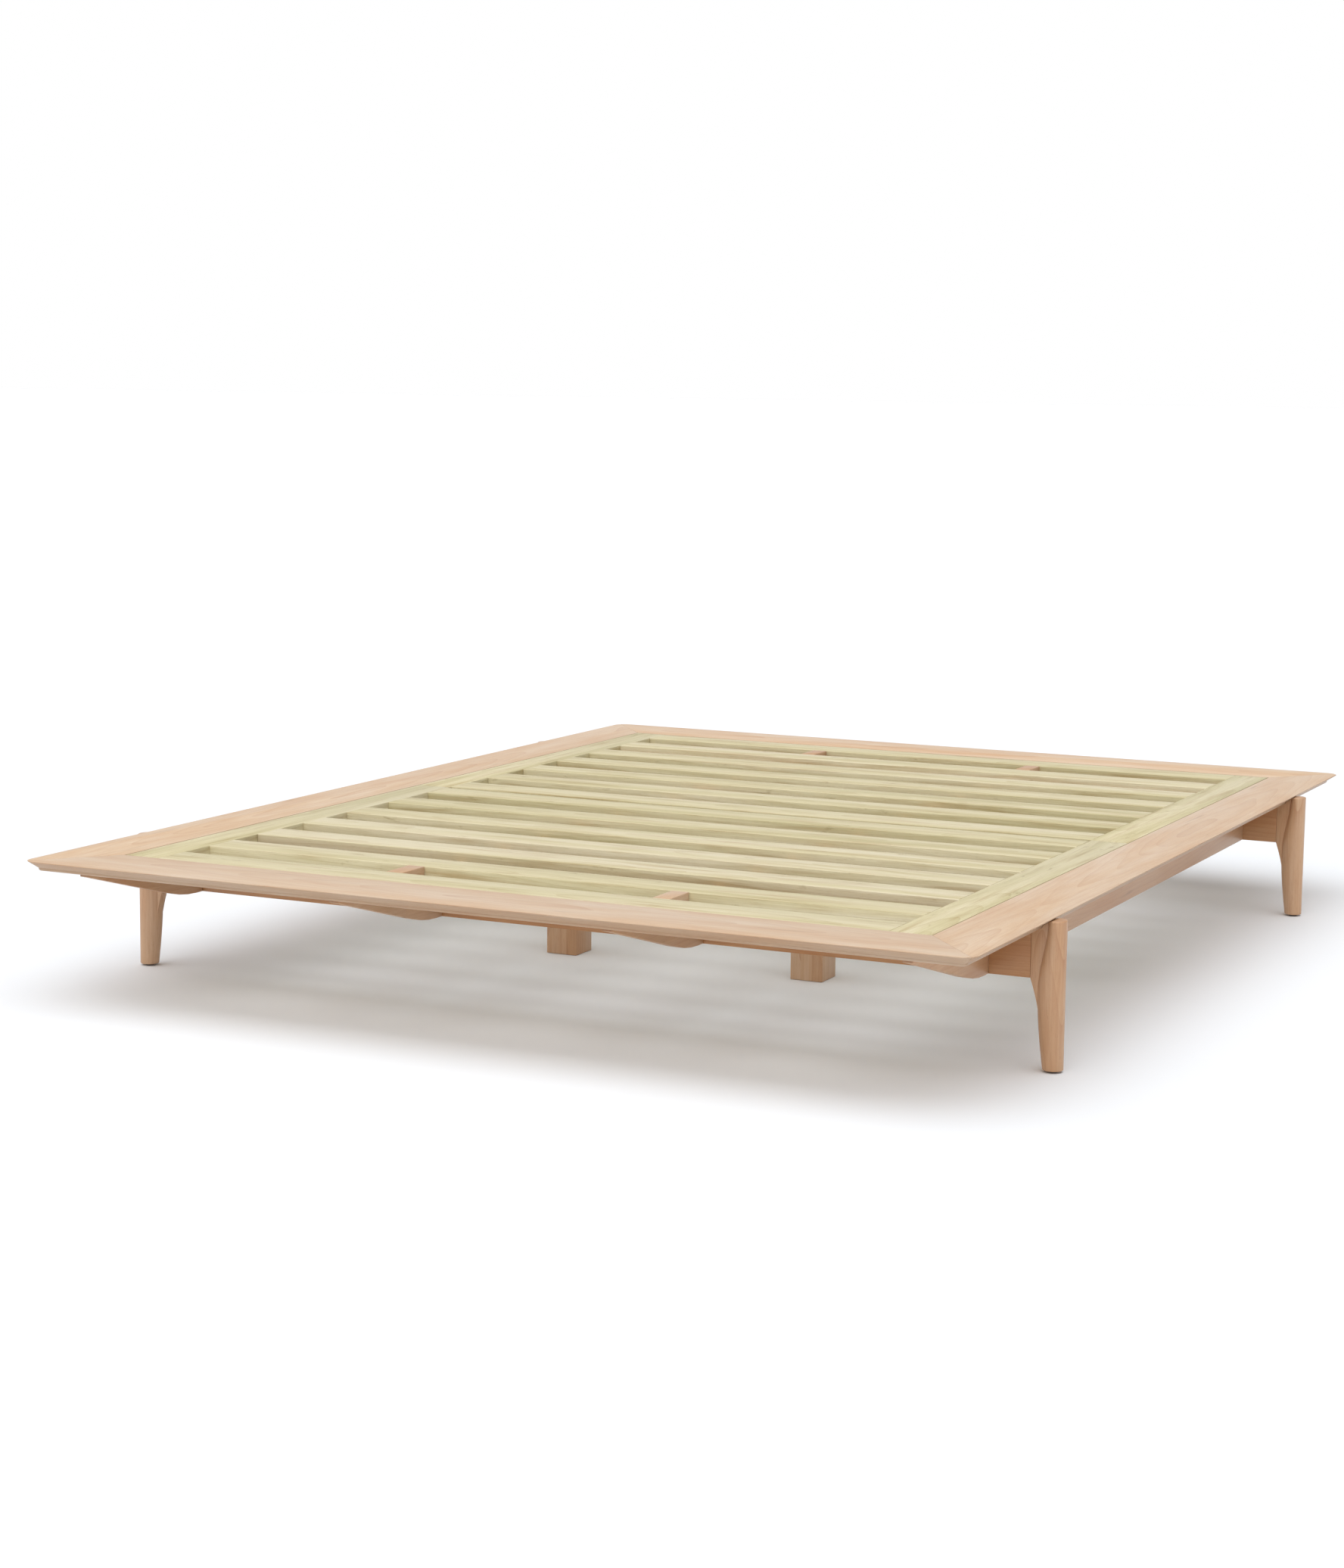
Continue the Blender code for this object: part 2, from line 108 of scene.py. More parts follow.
def growth_rings(tree, grain, ring_mm, sway_mm, run_out):
    """The place across a growth ring, 0 to 1, and a late-wood line that is stronger in some years.

    The rings lie round the pith at y = z = 0.  The tree's taper and bends make them run out of the face,
    which gives a flat-sawn board its arches.
    """
    sway = add(
        tree,
        "ShaderNodeVectorMath",
        {0: fibres(tree, grain, (420, 90, 90), 2.0, 0.45)["Color"], 1: (0.5, 0.5, 0.5)},
        operation="SUBTRACT",
    )
    swayed = add(
        tree,
        "ShaderNodeVectorMath",
        {0: sway, 1: [sway_mm / 500.0] * 3, 2: grain},
        operation="MULTIPLY_ADD",
    )
    place = add(tree, "ShaderNodeSeparateXYZ", {0: swayed}, out=None).outputs
    flat = add(tree, "ShaderNodeCombineXYZ", {"Y": place["Y"], "Z": place["Z"]})
    radius = add(tree, "ShaderNodeVectorMath", {0: flat}, out=1, operation="LENGTH")
    bend = add(tree, "ShaderNodeMath", {0: place["X"], 1: 3.1}, operation="MULTIPLY")
    bend = add(tree, "ShaderNodeMath", {0: bend}, operation="SINE")
    age = add(
        tree, "ShaderNodeMath", {0: bend, 1: run_out / 3.1, 2: radius}, operation="MULTIPLY_ADD"
    )
    age = add(tree, "ShaderNodeMath", {0: age, 1: ring_mm / 1000.0}, operation="DIVIDE")
    across = add(tree, "ShaderNodeMath", {0: age}, operation="FRACT")
    line = add(tree, "ShaderNodeMath", {0: across, 1: 6.0}, operation="POWER")
    year = add(tree, "ShaderNodeMath", {0: age}, operation="FLOOR")
    vigour = add(tree, "ShaderNodeTexWhiteNoise", {"W": year}, noise_dimensions="1D")
    return across, add(tree, "ShaderNodeMath", {0: line, 1: vigour}, operation="MULTIPLY")


def stained(tree, colour, where, start, full, amount, shade):
    """The colour darkened by a shade, from none where the pattern is at start to amount at full."""
    share = add(tree, "ShaderNodeMapRange", {0: where, 1: start, 2: full, 3: 0.0, 4: amount})
    return add(
        tree,
        "ShaderNodeMix",
        {0: share, 6: colour, 7: srgb(shade)},
        out=2,
        data_type="RGBA",
        blend_type="MULTIPLY",
    )


def clear_finish(tree, colour, unevenness, smoothest, roughest):
    """A thin satin film over the wood, through which the fibres show as a faint unevenness."""
    bump = add(
        tree, "ShaderNodeBump", {"Height": unevenness, "Strength": 0.18, "Distance": 0.0004}
    )
    rough = add(
        tree, "ShaderNodeMapRange", {0: unevenness, 1: 0.2, 2: 0.8, 3: smoothest, 4: roughest}
    )
    shader = tree.nodes["Principled BSDF"].inputs
    shader["IOR"].default_value = 1.5
    shader["Coat Weight"].default_value = 0.12
    shader["Coat Roughness"].default_value = 0.32
    for socket, source in (("Base Color", colour), ("Roughness", rough), ("Normal", bump)):
        tree.links.new(source, shader[socket])


def hard_maple():
    """Hard maple, planed, sanded and clear-finished: cream with pink and tan clouds, faint arched
    late-wood lines, short fine pore lines, and now and then a grey-brown mineral streak."""
    material = bpy.data.materials.new("clear_finished_hard_maple")
    material.use_nodes = True
    tree = material.node_tree
    grain = add(tree, "ShaderNodeAttribute", out=1, attribute_name="grain")
    warmth = add(tree, "ShaderNodeAttribute", out=2, attribute_name="warmth")
    open_grain = add(tree, "ShaderNodeAttribute", out=2, attribute_name="open_grain")

    clouds = fibres(tree, grain, (260, 45, 45), 3.0, 0.55)["Fac"]
    colour = add(
        tree,
        "ShaderNodeValToRGB",
        {0: clouds},
        stops=((0.30, "#dcbd9b"), (0.70, "#e6d4bd"), (0.50, "#e1c9ac")),
    )
    # a warmer, darker tone that differs from board to board; on the beams, lengthwise boards and legs under
    # the deck it is set higher as painted shade
    colour = stained(tree, colour, warmth, 0.0, 1.0, 1.0, "#cda67e")

    # late-wood lines, about 7 mm apart where a flat-sawn face shows them best
    across, line = growth_rings(tree, grain, 7.0, 9.0, 0.05)
    colour = stained(tree, colour, across, 0.0, 1.0, 0.10, "#dcb493")
    colour = stained(tree, colour, line, 0.0, 1.0, 0.28, "#cc9a70")

    # long soft fibre streaks, 3 mm wide
    streaks = fibres(tree, grain, (110, 3.2, 3.2), 3.0, 0.6)["Fac"]
    colour = stained(tree, colour, streaks, 0.7, 0.3, 0.35, "#d9bda4")

    # pore lines are 0.1 mm wide on the real board, drawn 0.8 mm wide so that they show at all
    pores = fibres(tree, grain, (14, 0.8, 0.8), 1.0, 0.5)["Fac"]
    colour = stained(tree, colour, pores, 0.62, 0.85, 0.45, "#c0906a")

    # mineral streaks, a few on each long board
    mineral = fibres(tree, grain, (170, 14, 14), 2.0, 0.5)["Fac"]
    colour = stained(tree, colour, mineral, 0.68, 0.85, 0.6, "#b08d70")

    # end grain drinks more of the finish and looks darker, and the moulded edges get painted shade
    colour = stained(tree, colour, open_grain, 0.0, 1.0, 0.5, "#ab9480")
    clear_finish(tree, colour, streaks, 0.36, 0.50)
    return material


maple = hard_maple()


def lay_grain(
    mesh, along, face, seed, pith=(0.0, -0.07), warmth=0.5, edges=0.0, ends=1.0, staves=None
):
    """Say where every face corner lay in the tree: along the fibres, then across and through the board.

    face is the normal of the show face, pith the distance of the tree's middle across and behind it, and
    staves the (axis, width) of a board glued up from narrower ones.  ends says how much open grain the cut
    ends show, and edges how much painted shade darkens the faces turned away from the show face, such as
    the moulded edges.
    """
    chance = random.Random(seed)
    along, face = Vector(along), Vector(face)
    across = face.cross(along)
    axes = np.array((along, across, face))
    corners = np.zeros(len(mesh.loops), np.int32)
    mesh.loops.foreach_get("vertex_index", corners)
    points = np.zeros(len(mesh.vertices) * 3)
    mesh.vertices.foreach_get("co", points)
    points = points.reshape(-1, 3)
    middle = (points.max(0) + points.min(0)) / 2
    sizes = np.array([polygon.loop_total for polygon in mesh.polygons])
    normals = np.repeat(np.array([polygon.normal for polygon in mesh.polygons]), sizes, axis=0)
    centres = np.repeat(np.array([polygon.center for polygon in mesh.polygons]), sizes, axis=0)
    stave = np.zeros(len(corners), int)
    if staves:
        stave = np.floor((centres - middle) @ np.array(staves[0]) / staves[1] + 0.5).astype(int) + 8
    starts = np.array([[chance.uniform(0, 30), chance.uniform(-0.03, 0.03), 0] for _ in range(17)])
    warmths = np.array([min(1.0, max(0.0, warmth + chance.uniform(-0.3, 0.3))) for _ in range(17)])
    warmths = np.where(np.arange(17) == 0, warmth, warmths)
    place = (points[corners] - middle) @ axes.T + starts[stave] - np.array((0, *pith))
    cut_ends = ends * np.abs(normals @ axes[0]) ** 4
    # faces turned away from the show face, such as the moulded edges, get painted shade
    cut_edges = edges * np.clip(8 * (1 - np.abs(normals @ axes[2])), 0, 1)
    for name, kind, key, values in (
        ("grain", "FLOAT_VECTOR", "vector", place),
        ("warmth", "FLOAT", "value", warmths[stave]),
        ("open_grain", "FLOAT", "value", np.maximum(cut_ends, cut_edges)),
    ):
        attribute = mesh.attributes.new(name, kind, "CORNER")
        attribute.data.foreach_set(key, values.astype(np.float32).ravel())


def mesh_of(bm, name):
    """A mesh from working geometry, with its faces turned outwards."""
    bmesh.ops.recalc_face_normals(bm, faces=bm.faces[:])
    mesh = bpy.data.meshes.new(name)
    bm.to_mesh(mesh)
    bm.free()
    return mesh


def applied(obj):
    """The object's mesh with its modifiers in it, and the modifiers gone."""
    mesh = bpy.data.meshes.new_from_object(obj.evaluated_get(bpy.context.evaluated_depsgraph_get()))
    obj.modifiers.clear()
    obj.data = mesh
    return obj


def ease(obj, width):
    """Round every arris sharper than 35 degrees over, as sandpaper does."""
    bevel = obj.modifiers.new("ease", "BEVEL")
    bevel.width = width
    bevel.segments = 2
    bevel.limit_method = "ANGLE"
    bevel.angle_limit = math.radians(35)
    return applied(obj)


def finish_piece(obj, body, material, slot, *nodes):
    """Smooth shading up to 35 degrees, the finish, and what the piece rides on and stands for."""
    obj.data.shade_smooth()
    obj.data.set_sharp_from_angle(angle=math.radians(35))
    obj.data.materials.clear()
    obj.data.materials.append(material)
    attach(obj, body)
    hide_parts(*nodes)


def new_object(name, mesh):
    obj = bpy.data.objects.new(name, mesh)
    bpy.context.scene.collection.objects.link(obj)
    return obj


def edge_profile():
    """(inset, height) round the outer edge: flat underside, round lip, leaning face, eased top arris."""
    points = []
    for step in range(7):
        turn = math.radians(-90 + 105 * step / 6)
        inset = edge_undercut - lip_radius * math.cos(turn)
        points.append((inset, deck_underside + lip_radius * (1 + math.sin(turn)) * 0.8))
    for step in range(5):
        turn = math.radians(10 + 80 * step / 4)
        points.append((top_arris * (1 - math.cos(turn)), deck_top - top_arris * (1 - math.sin(turn))))
    return points


def outline(inset):
    """The border's rounded outside rectangle, drawn in by inset."""
    points = []
    radius = corner_radius - inset
    for corner, (sx, sy) in enumerate(((1, 1), (-1, 1), (-1, -1), (1, -1))):
        for step in range(13):
            angle = math.radians(90) * (corner + step / 12)
            points.append(
                (
                    sx * (half_width - corner_radius) + radius * math.cos(angle),
                    sy * (half_length - corner_radius) + radius * math.sin(angle),
                )
            )
    return points


def skin(rings):
    """A closed skin over a stack of rings of equally many points."""
    bm = bmesh.new()
    levels = [[bm.verts.new(point) for point in ring] for ring in rings]
    for lower, upper in zip(levels, levels[1:]):
        for k, vertex in enumerate(lower):
            after = (k + 1) % len(lower)
            bm.faces.new((vertex, lower[after], upper[after], upper[k]))
    bm.faces.new(reversed(levels[0]))
    bm.faces.new(levels[-1])
    return bm


def saw(bm, point, normal):
    """Cut away what lies on the normal's side of a plane, and close the cut."""
    cut = bmesh.ops.bisect_plane(
        bm, geom=bm.verts[:] + bm.edges[:] + bm.faces[:], plane_co=point, plane_no=normal, clear_outer=True
    )
    bmesh.ops.edgeloop_fill(
        bm, edges=[part for part in cut["geom_cut"] if isinstance(part, bmesh.types.BMEdge)]
    )


def surround_board(name, side, seed, warmth):
    """One board of the border, ripped along the opening and sawn at its two mitres."""
    side = Vector(side)
    bm = skin([[(x, y, z) for x, y in outline(inset)] for inset, z in edge_profile()])
    saw(bm, side * (inner_half_width if side.x else inner_half_length), -side)
    for way in (-1, 1):
        sign = Vector((side.x or way, side.y or way, 0))
        outer = Vector((sign.x * half_width, sign.y * half_length, 0))
        inner = Vector((sign.x * inner_half_width, sign.y * inner_half_length, 0))
        along = (outer - inner).normalized()
        normal = Vector((-along.y, along.x, 0))
        if normal.dot(side) > 0:
            normal.negate()
        saw(bm, outer - normal * joint_gap / 2, normal)
    board = ease(new_object(name, mesh_of(bm, name)), 0.0003)
    run = (0, 1, 0) if side.x else (1, 0, 0)
    # the moulded edges of the border get painted shade
    lay_grain(board.data, run, (0, 0, 1), seed, (0.01, -0.055), warmth, edges=1.0)
    return board


boards = {
    "foot": surround_board("surround_foot", (0, -1, 0), 11, 0.10),
    "head": surround_board("surround_head", (0, 1, 0), 12, 0.12),
    "left": surround_board("surround_left", (-1, 0, 0), 13, 0.10),
    "right": surround_board("surround_right", (1, 0, 0), 14, 0.16),
}

# ---------------------------------------------------------------------------------------------- legs
# Four hard maple legs, spindle-moulded to a rounded section: plumb on the outside, swelling inwards to
# their widest just under the beam and slimmer above.  A flat shoulder as thick as the beam takes the beam's
# tenon and flares down into the leg.  The top stands in a pocket in the under-cut edge, just below the deck.
leg_low, leg_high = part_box("leg_foot_right")
beam_low, beam_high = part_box("cross_beam_foot")
leg_outside = leg_high.x
leg_y = (leg_low.y + leg_high.y) / 2
leg_foot, leg_top = leg_low.z, leg_high.z
shoulder_x = leg_low.x
foot_across, widest_across, top_across = 0.0345, 0.046, 0.030
half_deep = leg_high.y - leg_y
widest_height = beam_low.z - 0.017
shoulder_flare = 0.050
leg_ease = 0.0015
shoulder_ease = 0.0007
scribing_gap = 0.0005


def leg_across(z):
    """The width of a leg at a height, seen from the foot of the bed."""
    if z < widest_height:
        share = max(0.0, (z - leg_foot) / (widest_height - leg_foot))
        return foot_across + (widest_across - foot_across) * math.sin(share * math.pi / 2)
    share = min(1.0, (z - widest_height) / (leg_top - widest_height))
    return widest_across + (top_across - widest_across) * (1 - math.cos(share * math.pi)) / 2


def leg_deep(z):
    """Half the depth of a leg at a height, along the bed."""
    share = min(1.0, max(0.0, (z - leg_foot) / (widest_height - leg_foot)))
    return half_deep * (0.90 + 0.10 * math.sin(share * math.pi / 2))


def leg_section(z, grow, sides=72):
    """One oval section of a leg standing at y = 0, its outer side plumb."""
    half = leg_across(z) / 2
    middle = leg_outside - half
    turns = [2 * math.pi * k / sides for k in range(sides)]
    return [
        (middle + (half + grow) * math.cos(t), (leg_deep(z) + grow) * math.sin(t), z) for t in turns
    ]


def leg_body():
    """The oval part of a leg, with its two ends eased."""
    rings = []
    for step in range(5):
        turn = math.radians(90 * step / 4)
        height = leg_foot + leg_ease * (1 - math.sin(turn))
        rings.append(leg_section(height, -leg_ease * (1 - math.cos(turn))))
    rings.reverse()
    start, end = leg_foot + leg_ease, leg_top - leg_ease
    rings += [leg_section(start + (end - start) * k / 48, 0.0) for k in range(1, 48)]
    for step in range(5):
        turn = math.radians(90 * step / 4)
        rings.append(leg_section(end + leg_ease * math.sin(turn), -leg_ease * (1 - math.cos(turn))))
    return mesh_of(skin(rings), "leg")


def shoulder():
    """The flat part, flush with both faces of the beam: a hollow flare below, and a top that is scribed to
    the under-cut edge of the board above."""
    inside = leg_outside - top_across * 0.6
    low = beam_low.z - shoulder_flare
    body = leg_outside - leg_across(low) + 0.002
    flare = []
    for step in range(17):
        share = step / 16
        reach = (1 - math.cos(share * math.pi / 2)) * 0.35 + share * 0.65
        flare.append((body + (shoulder_x - body) * reach, low + shoulder_flare * share))
    scribed = leg_top - leg_ease - 0.001
    under = [(half_width - inset + scribing_gap, z) for inset, z in edge_profile() if z < scribed]
    (lean_x, lean_z), (end_x, end_z) = under[-1], (half_width + scribing_gap, deck_top - 0.0011)
    top_x = lean_x + (end_x - lean_x) * (scribed - lean_z) / (end_z - lean_z)
    shape = [(inside, low), *flare, (shoulder_x, beam_high.z), (under[0][0], beam_high.z)]
    shape += [*under[1:], (top_x, scribed), (inside, scribed)]
    half = (beam_high.y - beam_low.y) / 2
    sides = [[(x, y, z) for x, z in shape] for y in (half, -half)]
    return ease(new_object("shoulder", mesh_of(skin(sides), "shoulder")), shoulder_ease)


def work(obj, tool, operation):
    """Join a tool shape to a piece or cut it away, then drop the tool."""
    step = obj.modifiers.new("work", "BOOLEAN")
    step.operation = operation
    step.solver = "EXACT"
    step.object = tool
    applied(obj)
    bpy.data.objects.remove(tool, do_unlink=True)


def laid_out():
    """A tree that sets copies of its mesh in rows, each cut from another place in the tree.

    Copies left of the middle can be turned half round, so their outside faces out.
    """
    tree = bpy.data.node_groups.new("laid_out", "GeometryNodeTree")
    for name, kind, default in (
        ("Geometry", "NodeSocketGeometry", None),
        ("Start", "NodeSocketVector", None),
        ("Count", "NodeSocketInt", 2),
        ("Step", "NodeSocketVector", None),
        ("Rows", "NodeSocketInt", 1),
        ("Row Step", "NodeSocketVector", None),
        ("Turn Left Ones", "NodeSocketFloat", 0.0),
        ("Warmth Low", "NodeSocketFloat", 0.3),
        ("Warmth High", "NodeSocketFloat", 0.7),
        ("Seed", "NodeSocketInt", 1),
        ("Finish", "NodeSocketMaterial", None),
    ):
        socket = tree.interface.new_socket(name, in_out="INPUT", socket_type=kind)
        if default is not None:
            socket.default_value = default
    tree.interface.new_socket("Geometry", in_out="OUTPUT", socket_type="NodeSocketGeometry")
    given = add(tree, "NodeGroupInput", out=None).outputs
    row = add(
        tree,
        "GeometryNodeMeshLine",
        {"Count": given["Count"], "Start Location": given["Start"], "Offset": given["Step"]},
    )
    rows = add(tree, "GeometryNodeMeshLine", {"Count": given["Rows"], "Offset": given["Row Step"]})
    grid = add(tree, "GeometryNodeInstanceOnPoints", {"Points": rows, "Instance": row})
    spots = add(tree, "GeometryNodeRealizeInstances", {0: grid})
    place = add(tree, "ShaderNodeSeparateXYZ", {0: add(tree, "GeometryNodeInputPosition")})
    left = add(tree, "ShaderNodeMath", {0: place, 1: 0.0}, operation="LESS_THAN")
    turn = add(tree, "ShaderNodeMath", {0: left, 1: given["Turn Left Ones"]}, operation="MULTIPLY")
    turn = add(tree, "ShaderNodeCombineXYZ", {"Z": turn})
    copies = add(
        tree,
        "GeometryNodeInstanceOnPoints",
        {"Points": spots, "Instance": given["Geometry"], "Rotation": turn},
    )
    log = {"data_type": "FLOAT_VECTOR", "domain": "INSTANCE"}
    shift = add(
        tree,
        "FunctionNodeRandomValue",
        {0: (0.0, -0.025, -0.02), 1: (30.0, 0.025, 0.02), "Seed": given["Seed"]},
        data_type="FLOAT_VECTOR",
    )
    copies = add(
        tree, "GeometryNodeStoreNamedAttribute", {0: copies, "Name": "shift", "Value": shift}, **log
    )
    # each copy's own tone, within a range that on the pieces under the deck includes painted shade
    tone = add(
        tree,
        "FunctionNodeRandomValue",
        {2: given["Warmth Low"], 3: given["Warmth High"], "Seed": given["Seed"]},
        out=1,
        data_type="FLOAT",
    )
    tone = add(tree, "ShaderNodeCombineXYZ", {"X": tone})
    copies = add(
        tree, "GeometryNodeStoreNamedAttribute", {0: copies, "Name": "tone", "Value": tone}, **log
    )
    pieces = add(tree, "GeometryNodeRealizeInstances", {0: copies})
    sums = []
    for own, copied in (("grain", "shift"), ("warmth", "tone")):
        first = add(tree, "GeometryNodeInputNamedAttribute", {"Name": own}, data_type="FLOAT_VECTOR")
        second = add(
            tree, "GeometryNodeInputNamedAttribute", {"Name": copied}, data_type="FLOAT_VECTOR"
        )
        sums.append(add(tree, "ShaderNodeVectorMath", {0: first, 1: second}, operation="ADD"))
    pieces = add(
        tree,
        "GeometryNodeStoreNamedAttribute",
        {0: pieces, "Name": "grain", "Value": sums[0]},
        data_type="FLOAT_VECTOR",
        domain="CORNER",
    )
    pieces = add(
        tree,
        "GeometryNodeStoreNamedAttribute",
        {0: pieces, "Name": "warmth", "Value": add(tree, "ShaderNodeSeparateXYZ", {0: sums[1]})},
        data_type="FLOAT",
        domain="CORNER",
    )
    pieces = add(tree, "GeometryNodeSetMaterial", {0: pieces, "Material": given["Finish"]})
    add(tree, "NodeGroupOutput", {0: pieces}, out=None)
    return tree


layout = laid_out()


def lay_out(obj, **inputs):
    """Set copies of an object in rows, as one plain mesh."""
    step = obj.modifiers.new("laid_out", "NODES")
    step.node_group = layout
    for item in layout.interface.items_tree:
        key = item.name.replace(" ", "_").lower()
        if item.in_out == "INPUT" and key in inputs:
            step[item.identifier] = inputs[key]
    return applied(obj)


leg = new_object("legs", leg_body())
work(leg, shoulder(), "UNION")
lay_grain(leg.data, (0, 0, 1), (0, -1, 0), 21, pith=(0.012, -0.035), warmth=0.0, ends=0.1)

# the pockets are cut in the side boards before the copies are set out
for way, board in ((-1, boards["left"]), (1, boards["right"])):
    for end in (-1, 1):
        rings = [
            [(way * x, way * y + end * abs(leg_y), height) for x, y, _ in leg_section(z, scribing_gap)]
            for z, height in ((deck_underside, deck_underside - 0.004), (leg_top, leg_top + scribing_gap))
        ]
        work(board, new_object("pocket", mesh_of(skin(rings), "pocket")), "DIFFERENCE")
for side, board in boards.items():
    finish_piece(board, "base", maple, "maple", f"surround_board_{side}")

leg.data.transform(Matrix.Translation((-leg_outside, 0, 0)))
# the legs' tone range is set higher, partly as painted shade under the deck
lay_out(
    leg,
    start=(-leg_outside, -abs(leg_y), 0),
    count=2,
    step=(2 * leg_outside, 0, 0),
    rows=2,
    row_step=(0, 2 * abs(leg_y), 0),
    turn_left_ones=math.pi,
    warmth_low=0.5,
    warmth_high=0.65,
    seed=5,
    finish=maple,
)
finish_piece(
    leg, "base", maple, "maple", "leg_foot_left", "leg_foot_right", "leg_head_left", "leg_head_right"
)

# ---------------------------------------------------------------------------------------------- glides
# A turned disc of dark nylon, 20 mm across, nailed under each leg.  The rim is rounded so that it slides.
glide_low, glide_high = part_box("glide_leg_foot_right")


def nylon():
    """Moulded black nylon, a little dusty and scuffed underneath."""
    material = bpy.data.materials.new("moulded_black_nylon")
    material.use_nodes = True
    tree = material.node_tree
    place = add(tree, "ShaderNodeTexCoord", out=3)
    scuffs = add(tree, "ShaderNodeTexNoise", {"Vector": place, "Scale": 900.0, "Detail": 4.0})
    colour = add(
        tree, "ShaderNodeValToRGB", {0: scuffs}, stops=((0.35, "#1c1a19"), (0.75, "#35312e"))
    )
    rough = add(tree, "ShaderNodeMapRange", {0: scuffs, 3: 0.35, 4: 0.65})
    shader = tree.nodes["Principled BSDF"].inputs
    shader["IOR"].default_value = 1.53
    tree.links.new(colour, shader["Base Color"])
    tree.links.new(rough, shader["Roughness"])
    return material


def glide_mesh():
    radius = (glide_high.x - glide_low.x) / 2
    height = leg_foot - joint_gap
    rings = []
    for inset, z in ((0.0030, 0.0), (0.0014, 0.0003), (0.0004, 0.0010), (0.0, 0.0018), (0.0, height)):
        turns = [2 * math.pi * k / 40 for k in range(40)]
        rings.append([((radius - inset) * math.cos(t), (radius - inset) * math.sin(t), z) for t in turns])
    return mesh_of(skin(rings), "glides")


glides = new_object("glides", glide_mesh())
black_nylon = nylon()
glide_x = (glide_low.x + glide_high.x) / 2
lay_out(
    glides,
    start=(-glide_x, -abs(leg_y), 0),
    count=2,
    step=(2 * glide_x, 0, 0),
    rows=2,
    row_step=(0, 2 * abs(leg_y), 0),
    finish=black_nylon,
)
finish_piece(
    glides,
    "base",
    black_nylon,
    "glide_plastic",
    "glide_leg_foot_left",
    "glide_leg_foot_right",
    "glide_leg_head_left",
    "glide_leg_head_right",
)

# ---------------------------------------------------------------------------------------------- grid
# Two cross beams and four lengthwise boards of 18 mm maple, set on edge and cross-lapped.  The lengthwise
# boards taper to thin tips under the ends of the surround.  The beams' tenons go into the legs.


def eased_copy(name, node, width):
    """A piece cut to the same outline as its pattern, with its arrises eased."""
    bm = bmesh.new()
    bm.from_mesh(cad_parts[node].data)
    bmesh.ops.remove_doubles(bm, verts=bm.verts[:], dist=0.00001)
    bmesh.ops.dissolve_limit(bm, angle_limit=math.radians(1), verts=bm.verts[:], edges=bm.edges[:])
    mesh = bpy.data.meshes.new(name)
    bm.to_mesh(mesh)
    bm.free()
    return ease(new_object(name, mesh), width)


beams = eased_copy("cross_beams", "cross_beam_foot", 0.0007)
lay_grain(beams.data, (1, 0, 0), (0, -1, 0), 31, pith=(0.02, -0.05), warmth=0.0)
beam_y = (beam_low.y + beam_high.y) / 2
# the beams' tone range is set high as painted shade under the deck
lay_out(
    beams,
    count=2,
    step=(0, -2 * beam_y, 0),
    warmth_low=0.85,
    warmth_high=0.95,
    seed=3,
    finish=maple,
)
finish_piece(beams, "base", maple, "maple", "cross_beam_foot", "cross_beam_head")

rail_low, rail_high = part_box("side_rail_left")
rail_x = (rail_low.x + rail_high.x) / 2
rails = eased_copy("lengthwise_boards", "side_rail_left", 0.0007)
lay_grain(rails.data, (0, 1, 0), (1, 0, 0), 32, pith=(0.02, -0.05), warmth=0.0)
# the lengthwise boards' tone range is set higher as painted shade under the deck
lay_out(
    rails,
    count=4,
    step=(-2 * rail_x / 3, 0, 0),
    warmth_low=0.6,
    warmth_high=0.8,
    seed=4,
    finish=maple,
)
finish_piece(
    rails, "base", maple, "maple", "side_rail_left", "stringer_left", "stringer_right", "side_rail_right"
)

# ---------------------------------------------------------------------------------------------- posts
# Four square posts, each glued up from three maple staves and sawn square.  They are slotted in the top
# for the inner lengthwise boards and stand on the floor with no glide.
post_low, post_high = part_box("post_foot_left")
post_x, post_y = (post_low.x + post_high.x) / 2, (post_low.y + post_high.y) / 2
posts = eased_copy("posts", "post_foot_left", 0.0009)
bm = bmesh.new()
bm.from_mesh(posts.data)
stave = (post_high.x - post_low.x) / 3
for way in (-0.5, 0.5):
    bmesh.ops.bisect_plane(
        bm,
        geom=bm.verts[:] + bm.edges[:] + bm.faces[:],
        plane_co=(post_x + way * stave, 0, 0),
        plane_no=(1, 0, 0),
    )
bm.to_mesh(posts.data)
bm.free()
lay_grain(
    posts.data, (0, 0, 1), (0, -1, 0), 41, pith=(0.015, -0.04), warmth=0.15, staves=((1, 0, 0), stave)
)
lay_out(
    posts,
    count=2,
    step=(-2 * post_x, 0, 0),
    rows=2,
    row_step=(0, -2 * post_y, 0),
    warmth_low=0.4,
    warmth_high=0.55,
    seed=7,
    finish=maple,
)
finish_piece(
    posts,
    "base",
    maple,
    "maple",
    *(f"post_{e}_{s}" for e in ("foot", "head") for s in ("left", "right")),
)

# ---------------------------------------------------------------------------------------------- panels
# Two loose panels of 19 mm poplar, each seven cross slats tenoned into two stiles.  Poplar is cream with
# green heartwood in some boards, tan streaks and a very faint figure, with the same clear finish.


